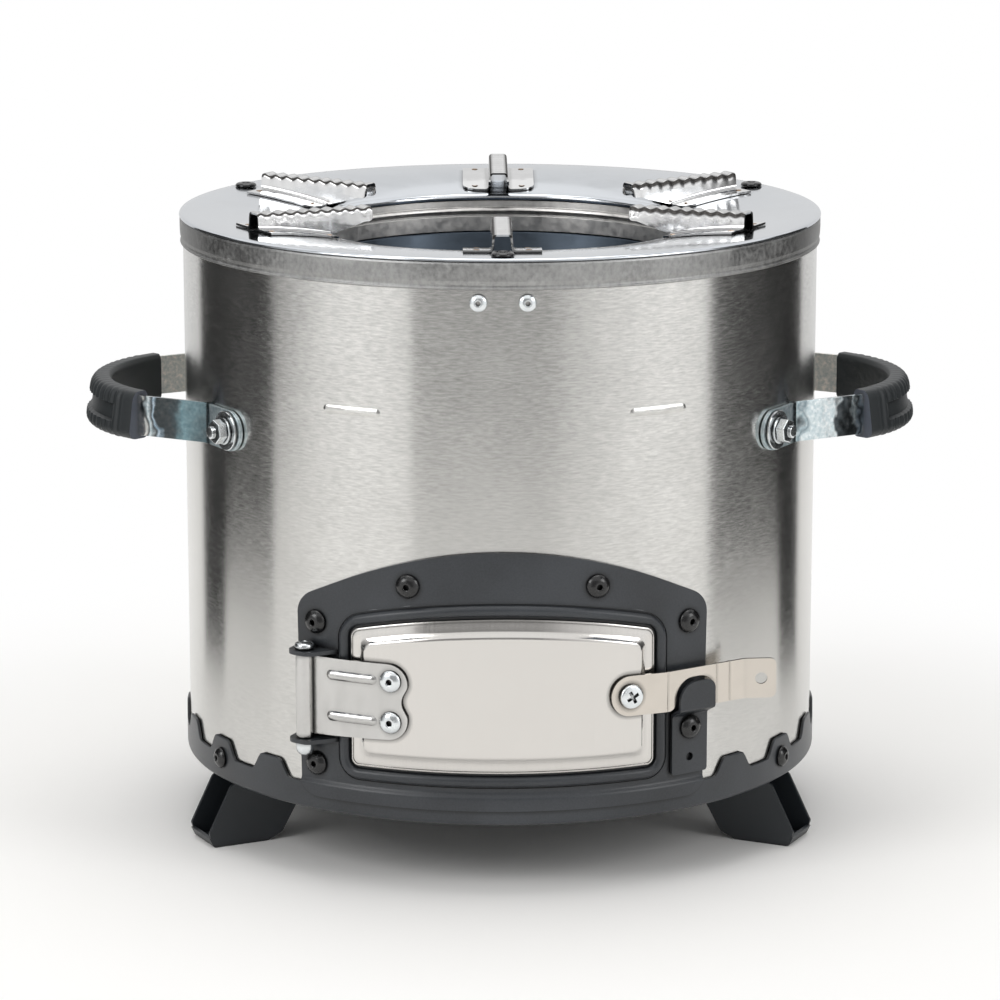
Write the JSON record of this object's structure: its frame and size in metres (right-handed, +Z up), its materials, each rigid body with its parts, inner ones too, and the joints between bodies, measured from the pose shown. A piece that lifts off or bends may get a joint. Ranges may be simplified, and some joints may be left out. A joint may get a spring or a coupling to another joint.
{
  "type": "charcoal stove",
  "caption": "Round sheet-steel charcoal stove on folded feet, with a dished top, pot supports, a hinged air door with a swing latch, and side handles.",
  "frame": {"origin": "on the ground under the drum's axis", "axes": "+Z up along the drum axis, the air door faces -Y, +X to the right seen from the front"},
  "size_m": [0.392, 0.3099, 0.2964],
  "materials": {
    "drum_steel": "brushed stainless sheet",
    "galvanised_steel": "rolled zinc coated sheet",
    "bright_steel": "smooth bright sheet",
    "nickel_steel": "warm nickel plate",
    "zinc_plate": "bright zinc plate",
    "powder_coat": "fine-textured dark grey powder coat",
    "black_sheet": "satin black coat",
    "black_rivet": "glossy black",
    "heated_steel": "dull blue-grey sheet",
    "cast_grate": "rough casting",
    "moulded_grip": "matt moulded grip"
  },
  "bodies": {
    "stove": {"door_frame": "powder_coat", "top_plate": "bright_steel", "outer_shell": "drum_steel", "base_pan": "powder_coat", "inner_collar": "drum_steel", "chamber_liner": "heated_steel", "rim_band": "galvanised_steel", "handle_grip_right": "moulded_grip", "handle_grip_left": "moulded_grip", "pot_support_3": "bright_steel", "pot_support_6": "bright_steel", "pot_support_2": "bright_steel", "pot_support_5": "bright_steel", "pot_support_4": "bright_steel", "pot_support_1": "bright_steel", "catch_bracket": "powder_coat", "handle_strip_right": "zinc_plate", "handle_strip_left": "zinc_plate", "frame_rivet_top_left": "black_rivet", "frame_rivet_top_right": "black_rivet", "frame_rivet_side_left": "black_rivet", "frame_rivet_side_right": "black_rivet", "frame_rivet_low_left": "black_rivet", "catch_rivet": "black_rivet", "body_rivet_left": "zinc_plate", "body_rivet_right": "zinc_plate", "pan_screw_left": "black_rivet", "pan_screw_right": "black_rivet", "pan_screw_back": "black_rivet", "handle_washer_right_front": "zinc_plate", "handle_washer_right_rear": "zinc_plate", "handle_washer_left_front": "zinc_plate", "handle_washer_left_rear": "zinc_plate", "plate_bolt_front": "black_rivet", "plate_bolt_right": "black_rivet", "plate_bolt_left": "black_rivet", "handle_bolt_right_front": "zinc_plate", "handle_bolt_right_rear": "zinc_plate", "handle_bolt_left_front": "zinc_plate", "handle_bolt_left_rear": "zinc_plate", "foot_left": "black_sheet", "foot_right": "black_sheet", "foot_screw_left": "zinc_plate", "foot_screw_right": "zinc_plate", "foot_screw_back": "zinc_plate", "hinge_screw": "zinc_plate", "hinge_nut": "zinc_plate", "foot_back": "black_sheet"},
    "door": {"air_door": "bright_steel", "hinge_strap": "bright_steel", "strap_rivet_upper": "zinc_plate", "strap_rivet_lower": "zinc_plate", "latch_screw": "zinc_plate", "latch_nut": "zinc_plate"},
    "latch": {"latch_strip": "nickel_steel"},
    "grate": {"charcoal_grate": "cast_grate"}
  },
  "joints": [
    {"name": "door_hinge", "type": "hinge", "parent": "stove", "child": "door", "pos_m": [-0.08868, -0.12841, 0.0874], "axis": [0, 0, -1], "range_deg": [0, 120]},
    {"name": "latch_lift", "type": "hinge", "parent": "door", "child": "latch", "pos_m": [0.05675, -0.14359, 0.0906], "axis": [0.3676, -0.93, 0], "range_deg": [0, 25]},
    {"name": "grate_lift", "type": "slide", "parent": "stove", "child": "grate", "axis": [0, 0, 1], "range_m": [0, 0.13]}
  ]
}
